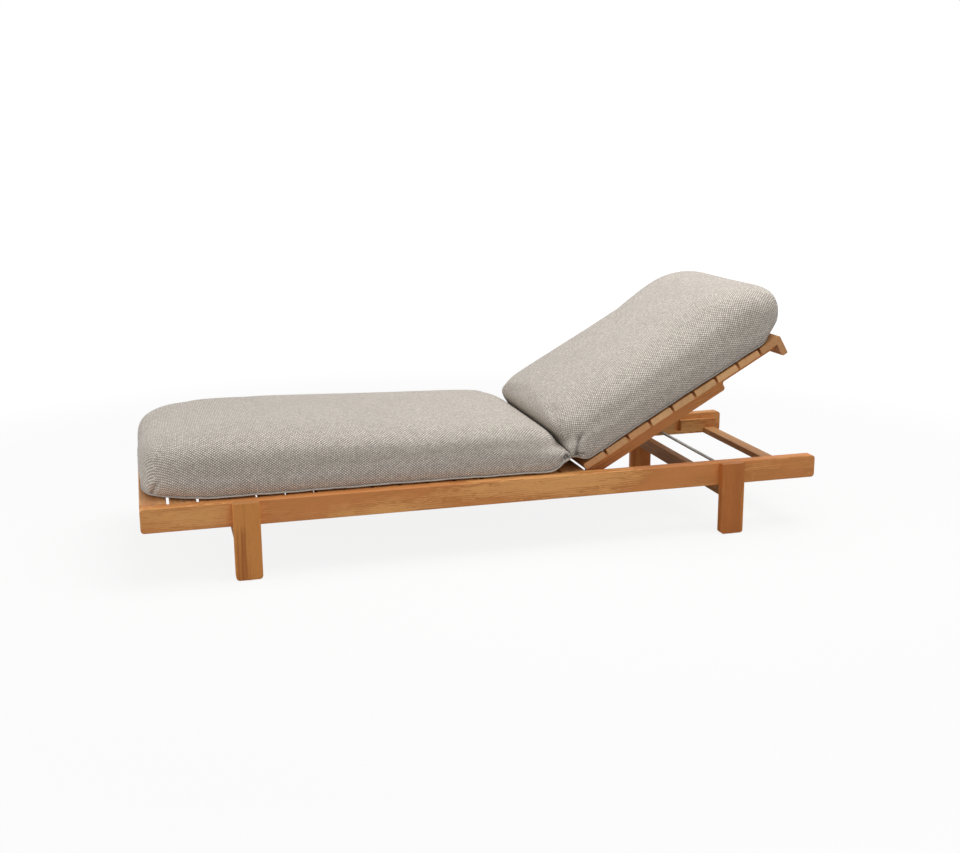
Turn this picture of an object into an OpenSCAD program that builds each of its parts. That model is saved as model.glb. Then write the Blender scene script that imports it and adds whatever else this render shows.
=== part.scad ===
// Sun lounger with a slatted teak frame, a ratchet backrest and two loose-filled pads.
// Millimetres. X runs from the foot end to the head end, Y across, Z up from the floor.
// The origin is on the floor under the middle of the frame.

/* [Frame] */
// Length of the side rails
rail_len = 2050; // [1950:1:2150]
// Height of a side rail
rail_h = 71; // [64:1:80]
// Thickness of a side rail
rail_t = 36; // [30:1:42]
// Height of the top of the rails above the floor
rail_top = 224; // [205:1:260]
// Width over the outer faces of the rails
frame_w = 706; // [640:1:780]
// Radius of the long edges of the rails
rail_edge_r = 4; // [2:0.5:6]
// Radius of the end corners of the rails
rail_end_r = 12; // [6:0.5:16]

/* [Legs] */
// Width of a leg seen from the side
leg_w = 75; // [65:1:85]
// Thickness of a leg
leg_t = 26; // [22:1:32]
// Distance from the foot end to the foot legs
foot_leg_inset = 248; // [210:1:290]
// Distance from the head end to the head legs
head_leg_inset = 252; // [248:1:290]
// Radius of the outer upright edges of a leg
leg_edge_r = 4; // [2:0.5:7]
// Radius of the edges of a leg against the rail
leg_back_r = 1; // [0.5:0.5:3]
// Radius of the bottom corners of a leg
leg_foot_r = 11; // [6:0.5:16]
// Radius of a glide under a leg
glide_r = 9; // [7:0.5:11]
// Height that a glide stands proud of the leg
glide_proud = 2; // [1:0.5:3]
// Radius of a glide's stem
glide_stem_r = 4.5; // [3:0.5:5.5]
// Depth of a glide's stem in the leg
glide_stem = 12; // [8:1:16]
// Distance between the two bolts of a leg
leg_bolt_pitch = 40; // [34:1:44]
// Radius of a leg bolt
leg_bolt_r = 4; // [3:0.5:5]
// Radius of a leg bolt's head
leg_bolt_head_r = 7; // [6:0.5:9]
// Height of a leg bolt's head
leg_bolt_head_h = 4; // [3:0.5:5]
// Wood left between a leg bolt's end and the outer face
leg_bolt_cover = 6; // [4:1:10]

/* [Cross members] */
// Thickness of a leg stretcher
stretcher_t = 27; // [22:1:32]
// Depth of a leg stretcher
stretcher_h = 44; // [36:1:52]
// Radius of the long edges of a stretcher or batten
cross_edge_r = 2.5; // [1.5:0.5:4]
// Distance from the foot leg's foot edge to its stretcher
foot_stretcher_set = 2; // [1:1:20]
// Distance from the head leg's foot edge to its stretcher
head_stretcher_set = 20; // [10:1:32]
// Length of a stretcher's tenon
tenon_len = 15; // [8:1:18]
// Shoulder round a stretcher's tenon
tenon_shoulder = 6; // [4:0.5:8]
// Width of an end batten
batten_w = 42; // [36:1:48]
// Thickness of an end batten
batten_t = 20; // [16:1:24]
// Distance from a frame end to its batten
batten_inset = 31; // [30:1:40]

/* [Cleats] */
// Thickness of a cleat
cleat_t = 20; // [16:1:24]
// Height of a cleat
cleat_h = 49; // [46:1:50]
// Distance from the foot end to the cleats
cleat_foot_inset = 20; // [12:1:28]
// Distance from the head end to the cleats
cleat_head_inset = 25; // [23:1:30]
// Diameter of the stay rod
rod_d = 10; // [8:0.5:12]
// Distance from the head end to the stay rod
rod_inset = 242; // [236:1:248]
// Height of the rod above the bottom of the cleats
rod_rise = 15; // [12:0.5:18]
// Gap between an end of the rod and the rail
rod_end_gap = 0.5; // [0.3:0.1:1]
// Distance from the head end to the spare notch
spare_notch_inset = 172; // [160:1:184]
// Width of the spare notch
spare_notch_w = 22; // [16:1:26]
// Wood left under the spare notch
spare_notch_floor = 11; // [8:1:16]

/* [Slats] */
// Number of seat slats
seat_slats = 16;
// Number of back slats
back_slats = 8;
// Width of a slat
slat_w = 73.5; // [70:0.5:77]
// Thickness of a slat
slat_t = 20; // [18:0.5:22]
// Radius of the top edges of a slat
slat_edge_r = 4; // [2:0.5:6]
// Radius of the bottom edges of a slat
slat_foot_r = 1.5; // [1:0.5:3]
// Width of the board at the head of the back
head_board_w = 76; // [70:1:82]
// Gap between the seat and the back, lying flat
hinge_gap = 20; // [18:0.5:24]
// Gap between a seat slat's end and the rail
seat_slat_play = 0.5; // [0.3:0.1:1.5]
// Gap between a back slat's end and the rail
back_slat_play = 2.5; // [1.5:0.5:4]
// Radius of a slat screw
screw_r = 2.2; // [1.8:0.1:2.6]
// Radius of a screw's head
screw_head_r = 4.4; // [3.6:0.1:5]
// Height of a screw's countersunk head
screw_head_h = 2.6; // [2:0.1:3]
// Length of a screw
screw_len = 34; // [28:1:35]
// Gap between a screw and the wood
screw_fit = 0.05; // [0.02:0.01:0.1]

/* [Back frame] */
// Angle of the back above level
back_angle = 29.5; // [20:0.5:40]
// Distance from the end of the seat slats to the hinge axis
hinge_set = 27; // [25:0.5:30]
// Distance from the underside of the slats to the hinge axis
hinge_drop = 20; // [19.5:0.5:22]
// Height of the back slats over the seat slats, lying flat
back_lift = 0.3; // [0.2:0.1:1]
// Thickness of a back bar
bar_t = 22; // [18:1:26]
// Depth of a back bar between the hinge and the step
bar_deep = 41; // [38:1:42]
// Depth of a back bar past the step
bar_thin = 16; // [13:1:20]
// Distance from the hinge axis to the step
bar_step = 555; // [520:1:570]
// Radius of the lower corner at the step
bar_corner_r = 9; // [5:0.5:12]
// Radius of the hollow under the step
bar_hollow_r = 9; // [5:0.5:12]
// Radius of the relief that passes the last seat slat
relief_r = 19.5; // [18.5:0.5:20]
// Gap between the round end of a back bar and the seat slats
eye_gap = 1; // [0.8:0.1:1.5]
// Distance from the hinge axis to the relief
relief_set = 34; // [33:0.5:35]
// Height of the relief over the hinge axis
relief_rise = 12; // [11:0.5:13]
// Thickness of the lip board
lip_t = 20; // [16:1:24]
// Height of the lip board
lip_h = 42; // [36:1:46]

/* [Ratchet hinge] */
// Gap between a cleat and a back bar
fitting_gap = 8; // [7.5:0.5:10]
// Radius of the hinge bolt
bolt_r = 5; // [4:0.5:5.5]
// Depth of the hinge bolt in the rail
bolt_bite = 26; // [20:1:28]
// Radius of the hinge bolt's head
bolt_head_r = 9; // [8:0.5:10]
// Height of the hinge bolt's head
bolt_head_h = 5; // [4:0.5:6]
// Depth of the socket in the hinge bolt's head
bolt_socket = 3; // [2:0.5:4]
// Radius of the hinge washers
washer_r = 11; // [10:0.5:13]
// Thickness of the washer under the hinge bolt's head
inner_washer_t = 2; // [1.5:0.5:3]
// Wall of the hinge bush
bush_wall = 2; // [1.5:0.5:3]
// Running gap between bolt and bush
running_fit = 0.05; // [0.03:0.01:0.1]
// Side gap between parts that turn
side_play = 0.3; // [0.2:0.1:0.4]
// Thickness of the ratchet plate
plate_t = 5; // [4:0.5:5]
// Radius of the ratchet plate's toothed end
plate_r = 18; // [17:0.5:18.5]
// Height of the ratchet plate's arm
plate_arm_h = 20; // [16:1:24]
// Length of the ratchet plate's arm
plate_arm_len = 105; // [90:1:120]
// Length of a screw in the ratchet plate's arm
arm_screw_len = 20; // [16:1:22]
// Depth of a ratchet notch
notch_depth = 3; // [2:0.5:4]
// Flare of a ratchet notch at its mouth
notch_flare = 0.7; // [0.4:0.1:1]
// Angle from one ratchet position to the next
notch_step = 14.75; // [12:0.25:14.75]
// Thickness of the pawl
pawl_t = 3; // [2.5:0.5:3]
// Distance from the hinge axis to the pawl's pivot
pawl_set = 41; // [40:0.5:44]
// Height of the pawl's pivot under the hinge axis
pawl_drop = 13; // [12:0.5:14]
// Angle of the pawl's nose under the back's plane
pawl_nose_angle = 32; // [28:1:36]
// Thickness of the pawl's nose
pawl_nose_t = 3.5; // [3:0.1:4]
// Gap between the lifted pawl and the teeth
pawl_lift = 0.4; // [0.3:0.1:0.6]
// Radius of the pawl round its pivot
pawl_r = 5.5; // [5:0.5:6]
// Radius of the pawl's pin
pin_r = 2.5; // [2:0.5:3]
// Radius of the pin's head
pin_head_r = 4.2; // [3.6:0.1:4.8]
// Depth of the pin in the back bar
pin_bite = 14; // [10:1:16]

/* [Pads] */
// Distance from the foot end to the seat pad
seat_pad_inset = 2; // [0:1:3]
// Distance from the seat pad's base to the end of the seat slats at the fold
seat_pad_set = 30; // [29:1:50]
// Distance from the outer face of a rail to the side of the seat pad
seat_pad_side = 14; // [10:1:50]
// Thickness of the seat pad at the foot
seat_pad_t = 193; // [150:1:215]
// Drop of the seat pad's crown towards the fold
seat_pad_drop = 38; // [0:1:50]
// Height of the seat pad's widest line
seat_pad_belly = 78; // [50:1:110]
// Squareness of the seat pad's outline at the foot
seat_pad_corner = 5.7; // [3:0.1:8]
// Fullness of the seat pad across
seat_pad_full = 3.5; // [2:0.1:5]
// Fullness of the seat pad's foot end
seat_end_full = 4.8; // [2:0.1:6]
// Draw-in of the seat pad's long sides between its corners
seat_pad_draw = 12; // [0:1:20]
// Draw-in of the seat pad under its widest line, down to the seam
seat_pad_tuck = 12; // [4:1:30]
// Further draw-in of the seat pad's foot corners
seat_corner_tuck = 36; // [0:1:60]
// Distance from the end of the seat slats to the back pad's base, lying flat
back_pad_set = 2; // [2:1:8]
// Distance that the back pad's widest line reaches past the back boards
back_pad_past = 72; // [40:1:90]
// Distance from the outer face of a rail to the side of the back pad
back_pad_side = 14; // [10:1:50]
// Thickness of the back pad at the fold
back_pad_t = 195; // [150:1:210]
// Rise of the back pad's crown towards the head
back_pad_rise = 2; // [0:1:30]
// Height of the swell that lifts the back pad's crown near the head
back_pad_swell = 23; // [0:1:40]
// Height of the back pad's widest line
back_pad_belly = 91; // [50:1:120]
// Squareness of the back pad's outline at the head
back_pad_corner = 7.4; // [3:0.1:8]
// Fullness of the back pad across
back_pad_full = 2.6; // [2:0.1:5]
// Fullness of the back pad's head end
back_end_full = 1.9; // [1.6:0.1:5]
// Draw-in of the back pad's long sides between its corners
back_pad_draw = 12; // [0:1:20]
// Draw-in of the back pad's sides under their widest line, down to the seam
back_pad_tuck = 24; // [4:1:30]
// Draw-in of the back pad's head end under its widest line, down to the seam
back_end_tuck = 70; // [40:1:80]
// Further draw-in of the back pad's head corners
back_corner_tuck = 90; // [0:1:110]
// Squareness of a pad's outline at the fold
fold_corner = 9; // [4:0.5:12]
// Fullness of a pad's end at the fold
fold_full = 9; // [3:0.5:12]
// Height of the seam flange above the slats
pad_flange = 7; // [4:1:12]
// Width of the flat rim under the flange
pad_rim = 8; // [6:1:30]
// Lean of the seat pad's end at the fold
fold_lean = 49; // [48:0.5:50]
// Lean of the back pad's end at the fold
back_fold_lean = 4.5; // [0:0.5:4.5]
// Gap between a pad and what it lies on
pad_gap = 0.3; // [0.2:0.1:1]

/* [Hidden] */
$fn = 48;
wood = [0.69, 0.47, 0.28];
wood_light = [0.78, 0.61, 0.43];
wood_dark = [0.60, 0.39, 0.22];
steel = [0.70, 0.71, 0.72];
brass = [0.74, 0.60, 0.34];
black = [0.10, 0.10, 0.10];
cloth = [0.62, 0.58, 0.53];
pad_sides = 48;
pad_rings = 12;
lean_power = 5;
tuck_power = 6;
corner_from = 0.7;
swell_at = 0.69;
swell_reach = 0.35;
arm_screws = [0.35, 0.6, 0.85];
over = 1;
eps = 0.01;

foot_x = -rail_len / 2;
head_x = rail_len / 2;
rail_bottom = rail_top - rail_h;
inner_w = frame_w - 2 * rail_t;
slat_len = inner_w - 2 * seat_slat_play;
back_slat_len = inner_w - 2 * back_slat_play;
slat_base = rail_top - slat_t;
cleat_top = slat_base;
cleat_base = cleat_top - cleat_h;
cleat_y = inner_w / 2 - cleat_t / 2;
between_cleats = inner_w - 2 * cleat_t;

slat_gap = (rail_len - hinge_gap - (seat_slats + back_slats) * slat_w - head_board_w)
    / (seat_slats + back_slats - 1);
slat_pitch = slat_w + slat_gap;
seat_end_x = foot_x + seat_slats * slat_pitch - slat_gap;
hinge_x = seat_end_x - hinge_set;
hinge_z = slat_base - hinge_drop;
back_start = seat_end_x + hinge_gap - hinge_x;
board_start = back_start + back_slats * slat_pitch;
back_end = board_start + head_board_w;
bar_top = hinge_drop + back_lift;
bar_y = between_cleats / 2 - fitting_gap - bar_t / 2;
bar_eye_r = (bar_deep - bar_top + hinge_drop - eye_gap) / 2;
bar_eye_z = bar_top - bar_deep + bar_eye_r;

foot_leg_x = foot_x + foot_leg_inset + leg_w / 2;
head_leg_x = head_x - head_leg_inset - leg_w / 2;
foot_stretcher_x = foot_leg_x - leg_w / 2 + foot_stretcher_set + stretcher_t / 2;
head_stretcher_x = head_leg_x - leg_w / 2 + head_stretcher_set + stretcher_t / 2;
leg_bolt_z = (rail_bottom + slat_base) / 2;
leg_bolt_len = cleat_t + rail_t + leg_t - leg_bolt_cover;
rod_x = head_x - rod_inset;
rod_z = cleat_base + rod_rise;
rod_len = inner_w - 2 * rod_end_gap;
spare_notch_x = head_x - spare_notch_inset;

bush_r = bolt_r + running_fit + bush_wall;
nose_r = plate_r + pawl_lift;
pawl_gap = (plate_t - pawl_t) / 2 + side_play;
lip_screw_pitch = between_cleats / 3;

pad_base = rail_top + pad_gap;
seat_pad_len = seat_end_x - seat_pad_set - foot_x - seat_pad_inset;
seat_pad_w = frame_w - 2 * seat_pad_side;
back_pad_base = bar_top + slat_t + pad_gap;
back_pad_start = hinge_set + back_pad_set;
back_pad_len = back_end + back_pad_past - back_pad_start;
back_pad_w = frame_w - 2 * back_pad_side;
// Crown of a pad: [thickness at its foot side, drop, swell, fullness across]
seat_crown = [seat_pad_t, seat_pad_drop, 0, seat_pad_full];
back_crown = [back_pad_t, -back_pad_rise, back_pad_swell, back_pad_full];
// Sides of a pad: [height of the widest line, draw-in between the corners, draw-in under the widest line]
seat_flank = [seat_pad_belly, seat_pad_draw, seat_pad_tuck];
back_flank = [back_pad_belly, back_pad_draw, back_pad_tuck];
// End of a pad: [squareness, fullness, draw-in under the widest line, the same for its corners, lean]
foot_end = [seat_pad_corner, seat_end_full, seat_pad_tuck, seat_corner_tuck, 0];
seat_fold_end = [fold_corner, fold_full, 0, 0, fold_lean];
back_fold_end = [fold_corner, fold_full, 0, 0, back_fold_lean];
head_end = [back_pad_corner, back_end_full, back_end_tuck, back_corner_tuck, 0];

// Rectangle with the top and bottom corners rounded by their own radii, centred on X, on Z = 0
module board_section(w, h, top_r, foot_r) {
    translate([-w / 2, foot_r]) square([w, h - top_r - foot_r]);
    translate([-w / 2 + foot_r, 0]) square([w - 2 * foot_r, foot_r + eps]);
    translate([-w / 2 + top_r, h - top_r - eps]) square([w - 2 * top_r, top_r + eps]);
    for (s = [-1, 1]) {
        translate([s * (w / 2 - foot_r), foot_r]) circle(foot_r);
        translate([s * (w / 2 - top_r), h - top_r]) circle(top_r);
    }
}

// Extrusion of a section drawn in X and Z, along Y and centred on it
module across(len) {
    translate([0, len / 2, 0]) rotate([90, 0, 0]) linear_extrude(len) children();
}

// Extrusion of a section drawn in Y and Z, along X and centred on it
module along(len) {
    translate([-len / 2, 0, 0]) rotate([90, 0, 90]) linear_extrude(len) children();
}

// Cylinder along Y, from its start towards +Y
module pin_y(r, len) {
    rotate([-90, 0, 0]) cylinder(r = r, h = len);
}

// Moves children from the back's own frame, lying flat round the hinge axis, to the rest pose
module on_back() {
    translate([hinge_x, 0, hinge_z]) rotate([0, -back_angle, 0]) children();
}

// Side -1 is the sitter's left, at -Y, and side 1 the right
module on_side(side) {
    mirror([0, side < 0 ? 1 : 0, 0]) children();
}

// Screw pointing down, with its countersunk head's top at Z = 0
module screw(len, grow) {
    translate([0, 0, -len]) cylinder(r = screw_r + grow, h = len);
    translate([0, 0, -screw_head_h])
        cylinder(r1 = screw_r + grow, r2 = screw_head_r + grow, h = screw_head_h);
}

module rail(side) {
    on_side(side) difference() {
        intersection() {
            translate([0, inner_w / 2 + rail_t / 2, rail_bottom])
                along(rail_len) board_section(rail_t, rail_h, rail_edge_r, rail_edge_r);
            translate([0, inner_w / 2 + rail_t / 2, rail_bottom])
                across(rail_t) board_section(rail_len, rail_h, rail_end_r, rail_end_r);
        }
        for (x = [foot_leg_x, head_leg_x], s = [-1, 1])
            translate([x + s * leg_bolt_pitch / 2, inner_w / 2 - over, leg_bolt_z])
                pin_y(leg_bolt_r + screw_fit, rail_t + 2 * over);
        translate([hinge_x, inner_w / 2 - over, hinge_z])
            pin_y(bolt_r + screw_fit, bolt_bite + over + screw_fit);
    }
}

module leg(x, stretcher_x, side) {
    on_side(side) difference() {
        intersection() {
            translate([x, frame_w / 2 + leg_t / 2, glide_proud])
                across(leg_t) board_section(leg_w, rail_top - glide_proud, leg_edge_r, leg_foot_r);
            translate([x, frame_w / 2 + leg_t / 2, 0]) linear_extrude(rail_top)
                translate([0, -leg_t / 2]) board_section(leg_w, leg_t, leg_edge_r, leg_back_r);
        }
        for (s = [-1, 1]) translate([x + s * leg_bolt_pitch / 2, frame_w / 2 - over, leg_bolt_z])
            pin_y(leg_bolt_r + screw_fit, leg_t - leg_bolt_cover + over + screw_fit);
        translate([stretcher_x, frame_w / 2, rail_bottom - stretcher_h / 2]) tenon(screw_fit);
        translate([x, frame_w / 2 + leg_t / 2, 0])
            cylinder(r = glide_stem_r + screw_fit, h = glide_stem + screw_fit);
    }
}

// Tenon of a stretcher, centred on its root, pointing to +Y
module tenon(grow) {
    w = stretcher_t - 2 * tenon_shoulder + 2 * grow;
    h = stretcher_h - 2 * tenon_shoulder + 2 * grow;
    translate([-w / 2, -eps, -h / 2]) cube([w, tenon_len + grow + eps, h]);
}

module stretcher(x) {
    translate([x, 0, rail_bottom - stretcher_h])
        across(frame_w) board_section(stretcher_t, stretcher_h, cross_edge_r, cross_edge_r);
    for (side = [-1, 1]) on_side(side)
        translate([x, frame_w / 2, rail_bottom - stretcher_h / 2]) tenon(0);
}

module batten(x) {
    translate([x, 0, rail_bottom])
        across(between_cleats) board_section(batten_w, batten_t, cross_edge_r, cross_edge_r);
}

module cleat(side) {
    len = rail_len - cleat_foot_inset - cleat_head_inset;
    on_side(side) difference() {
        translate([foot_x + cleat_foot_inset, cleat_y - cleat_t / 2, cleat_base])
            cube([len, cleat_t, cleat_h]);
        translate([rod_x, cleat_y - cleat_t, rod_z]) pin_y(rod_d / 2 + screw_fit, 2 * cleat_t);
        translate([rod_x - rod_d / 2 - screw_fit, cleat_y - cleat_t, rod_z])
            cube([rod_d + 2 * screw_fit, 2 * cleat_t, cleat_h]);
        translate([spare_notch_x - spare_notch_w / 2, cleat_y - cleat_t, cleat_base + spare_notch_floor])
            cube([spare_notch_w, 2 * cleat_t, cleat_h]);
        translate([hinge_x, cleat_y - cleat_t, hinge_z]) pin_y(bolt_r + screw_fit, 2 * cleat_t);
        for (x = [foot_leg_x, head_leg_x], s = [-1, 1])
            translate([x + s * leg_bolt_pitch / 2, cleat_y - cleat_t, leg_bolt_z])
                pin_y(leg_bolt_r + screw_fit, 2 * cleat_t);
        for (i = [0:seat_slats - 1])
            translate([seat_slat_x(i), cleat_y, rail_top]) screw(screw_len, screw_fit);
        for (f = arm_screws) translate([hinge_x - f * plate_arm_len, cleat_y - cleat_t / 2, hinge_z])
            rotate([90, 0, 0]) screw(arm_screw_len - plate_t, screw_fit);
    }
}

function seat_slat_x(i) = foot_x + slat_w / 2 + i * slat_pitch;
function back_slat_x(i) = back_start + slat_w / 2 + i * slat_pitch;

module slat(w, len, screw_y) {
    difference() {
        across(len) board_section(w, slat_t, slat_edge_r, slat_foot_r);
        for (s = [-1, 1]) translate([0, s * screw_y, slat_t]) screw(screw_len, screw_fit);
    }
}

module seat_slat(i) {
    translate([seat_slat_x(i), 0, slat_base]) slat(slat_w, slat_len, cleat_y);
}

module seat_slat_screws() {
    for (i = [0:seat_slats - 1], s = [-1, 1])
        translate([seat_slat_x(i), s * cleat_y, rail_top]) screw(screw_len, 0);
}

module back_slat(i) {
    on_back() translate([back_slat_x(i), 0, bar_top]) slat(slat_w, back_slat_len, bar_y);
}

module head_board() {
    on_back() translate([board_start + head_board_w / 2, 0, bar_top]) difference() {
        across(back_slat_len) board_section(head_board_w, slat_t, slat_edge_r, slat_foot_r);
        for (p = head_screw_places()) translate([p[0], p[1], slat_t]) screw(screw_len, screw_fit);
    }
}

// Screws of the head board, from its middle: one to each bar and three to the lip board
function head_screw_places() = concat(
    [for (s = [-1, 1]) [-lip_t / 2, s * bar_y]],
    [for (s = [-1, 0, 1]) [head_board_w / 2 - lip_t / 2, s * lip_screw_pitch]]
);

module lip_board() {
    on_back() translate([back_end - lip_t / 2, 0, bar_top]) difference() {
        mirror([0, 0, 1]) across(back_slat_len) board_section(lip_t, lip_h, slat_edge_r, slat_foot_r);
        for (s = [-1, 0, 1]) translate([0, s * lip_screw_pitch, slat_t]) screw(screw_len, screw_fit);
    }
}

module back_slat_screws() {
    on_back() {
        for (i = [0:back_slats - 1], s = [-1, 1])
            translate([back_slat_x(i), s * bar_y, bar_top + slat_t]) screw(screw_len, 0);
        for (p = head_screw_places())
            translate([board_start + head_board_w / 2 + p[0], p[1], bar_top + slat_t]) screw(screw_len, 0);
    }
}

// Side view of a back bar lying flat, with the hinge axis at the origin
module bar_outline() {
    base = bar_top - bar_deep;
    thin_base = bar_top - bar_thin;
    difference() {
        union() {
            translate([0, bar_eye_z]) circle(bar_eye_r);
            translate([0, base]) square([relief_set + relief_r, relief_rise - base]);
            translate([relief_set, base]) square([bar_step - bar_corner_r - relief_set, bar_deep]);
            translate([bar_step - bar_corner_r - eps, base + bar_corner_r])
                square([bar_corner_r + eps, bar_deep - bar_corner_r]);
            translate([bar_step - bar_corner_r, base + bar_corner_r]) circle(bar_corner_r);
            translate([bar_step - eps, thin_base]) square([back_end - lip_t - bar_step + eps, bar_thin]);
            translate([bar_step - eps, thin_base - bar_hollow_r])
                square([bar_hollow_r + eps, bar_hollow_r + eps]);
        }
        translate([relief_set, relief_rise]) circle(relief_r);
        translate([relief_set - relief_r, relief_rise]) square([relief_r, bar_top]);
        translate([bar_step + bar_hollow_r, thin_base - bar_hollow_r]) circle(bar_hollow_r);
    }
}

module back_bar(side) {
    on_back() on_side(side) difference() {
        translate([0, bar_y, 0]) across(bar_t) bar_outline();
        translate([0, bar_y - bar_t, 0]) pin_y(bush_r + screw_fit / 2, 2 * bar_t);
        translate([pawl_set, bar_y + bar_t / 2 - pin_bite - screw_fit, -pawl_drop])
            pin_y(pin_r + screw_fit, pin_bite + over);
        for (i = [0:back_slats - 1])
            translate([back_slat_x(i), bar_y, bar_top + slat_t]) screw(screw_len, screw_fit);
        translate([board_start + head_board_w / 2 - lip_t / 2, bar_y, bar_top + slat_t])
            screw(screw_len, screw_fit);
    }
}

module hinge_bolt(side) {
    head_y = bar_y - bar_t / 2 - side_play - inner_washer_t;
    on_side(side) translate([hinge_x, 0, hinge_z]) {
        translate([0, head_y, 0]) pin_y(bolt_r, inner_w / 2 + bolt_bite - head_y);
        difference() {
            translate([0, head_y - bolt_head_h, 0]) pin_y(bolt_head_r, bolt_head_h);
            translate([0, head_y - bolt_head_h - over, 0])
                rotate([-90, 0, 0]) cylinder(r = bolt_r, h = bolt_socket + over, $fn = 6);
        }
    }
}

module ring_y(inner_r, outer_r, len) {
    difference() {
        pin_y(outer_r, len);
        translate([0, -over, 0]) pin_y(inner_r, len + 2 * over);
    }
}

module hinge_washers() {
    for (side = [-1, 1]) on_side(side) translate([hinge_x, 0, hinge_z]) {
        translate([0, bar_y - bar_t / 2 - side_play - inner_washer_t, 0])
            ring_y(bolt_r + running_fit, washer_r, inner_washer_t);
        translate([0, bar_y + bar_t / 2 + side_play, 0])
            ring_y(bolt_r + running_fit, washer_r, fitting_gap - plate_t - side_play);
    }
}

module hinge_bushes() {
    on_back() for (side = [-1, 1]) on_side(side)
        translate([0, bar_y - bar_t / 2, 0]) ring_y(bolt_r + running_fit, bush_r, bar_t);
}

// Side view of the ratchet plate: a toothed disc with an arm towards the foot end
module plate_outline() {
    difference() {
        union() {
            circle(plate_r);
            translate([-plate_arm_len + plate_arm_h / 2, -plate_arm_h / 2])
                square([plate_arm_len - plate_arm_h / 2, plate_arm_h]);
            translate([-plate_arm_len + plate_arm_h / 2, 0]) circle(plate_arm_h / 2);
        }
        circle(bolt_r + running_fit);
        for (i = [1:3]) rotate(i * notch_step - pawl_nose_angle) polygon([
            [plate_r - notch_depth, 0],
            [plate_r + over, -notch_flare],
            [plate_r + over, notch_depth + notch_flare]
        ]);
    }
}

module ratchet_plate(side) {
    on_side(side) difference() {
        translate([hinge_x, between_cleats / 2 - plate_t / 2, hinge_z]) across(plate_t) plate_outline();
        for (f = arm_screws) translate([hinge_x - f * plate_arm_len, between_cleats / 2 - plate_t, hinge_z])
            rotate([90, 0, 0]) screw(arm_screw_len, screw_fit);
    }
}

module ratchet_screws() {
    for (side = [-1, 1], f = arm_screws) on_side(side)
        translate([hinge_x - f * plate_arm_len, between_cleats / 2 - plate_t, hinge_z])
            rotate([90, 0, 0]) screw(arm_screw_len, 0);
}

// Side view of the pawl in the back's own frame, with its nose just off the teeth
module pawl_outline() {
    nose = [nose_r * cos(pawl_nose_angle), -nose_r * sin(pawl_nose_angle)];
    difference() {
        union() {
            translate([pawl_set, -pawl_drop]) circle(pawl_r);
            polygon([
                nose,
                [nose[0] + pawl_nose_t, nose[1] - pawl_nose_t],
                [pawl_set + pin_r, -pawl_drop - pin_r],
                [pawl_set + pin_r, -pawl_drop + pin_r]
            ]);
        }
        translate([pawl_set, -pawl_drop]) circle(pin_r + running_fit);
    }
}

module pawl(side) {
    on_back() on_side(side)
        translate([0, between_cleats / 2 - pawl_gap - pawl_t / 2, 0]) across(pawl_t) pawl_outline();
}

module pawl_pins() {
    pawl_outer = between_cleats / 2 - pawl_gap;
    bar_face = bar_y + bar_t / 2;
    on_back() for (side = [-1, 1]) on_side(side) translate([pawl_set, 0, -pawl_drop]) {
        translate([0, bar_face - pin_bite, 0])
            pin_y(pin_r, pawl_outer + side_play / 2 - bar_face + pin_bite);
        translate([0, pawl_outer + side_play / 2, 0]) pin_y(pin_head_r, pawl_gap - side_play);
        translate([0, bar_face, 0]) pin_y(pin_head_r, pawl_outer - pawl_t - side_play - bar_face);
    }
}

module leg_bolts() {
    for (side = [-1, 1], x = [foot_leg_x, head_leg_x], s = [-1, 1]) on_side(side)
        translate([x + s * leg_bolt_pitch / 2, between_cleats / 2, leg_bolt_z]) {
            pin_y(leg_bolt_r, leg_bolt_len);
            translate([0, -leg_bolt_head_h, 0]) pin_y(leg_bolt_head_r, leg_bolt_head_h);
        }
}

module leg_glides() {
    for (side = [-1, 1], x = [foot_leg_x, head_leg_x]) on_side(side)
        translate([x, frame_w / 2 + leg_t / 2, 0]) {
            cylinder(r = glide_r, h = glide_proud);
            cylinder(r = glide_stem_r, h = glide_stem);
        }
}

module stay_rod() {
    translate([rod_x, -rod_len / 2, rod_z]) pin_y(rod_d / 2, rod_len);
}

// A pad is a stack of closed rings that climb from the base's middle over the rim and the seam to the
// widest line and on to the crown. Each ring is [angle above the widest line, angle below it, 0 on the
// base or 1 above it, share of the outline].
function ring_profile() = concat(
    [[0, 90, 0, 0.5], [0, 90, 0, 1], [0, 90, 1, 1], [0, 45, 1, 1]],
    [for (k = [0:pad_rings - 1]) [90 * k / pad_rings, 0, 1, 1]]
);

// Rounded power of a cosine or sine that keeps its sign
function rounded(c, power) = sign(c) * pow(abs(c), 2 / power);

// Eased step from 0 to 1
function eased(t) = let (c = max(0, min(1, t))) c * c * (3 - 2 * c);

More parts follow.
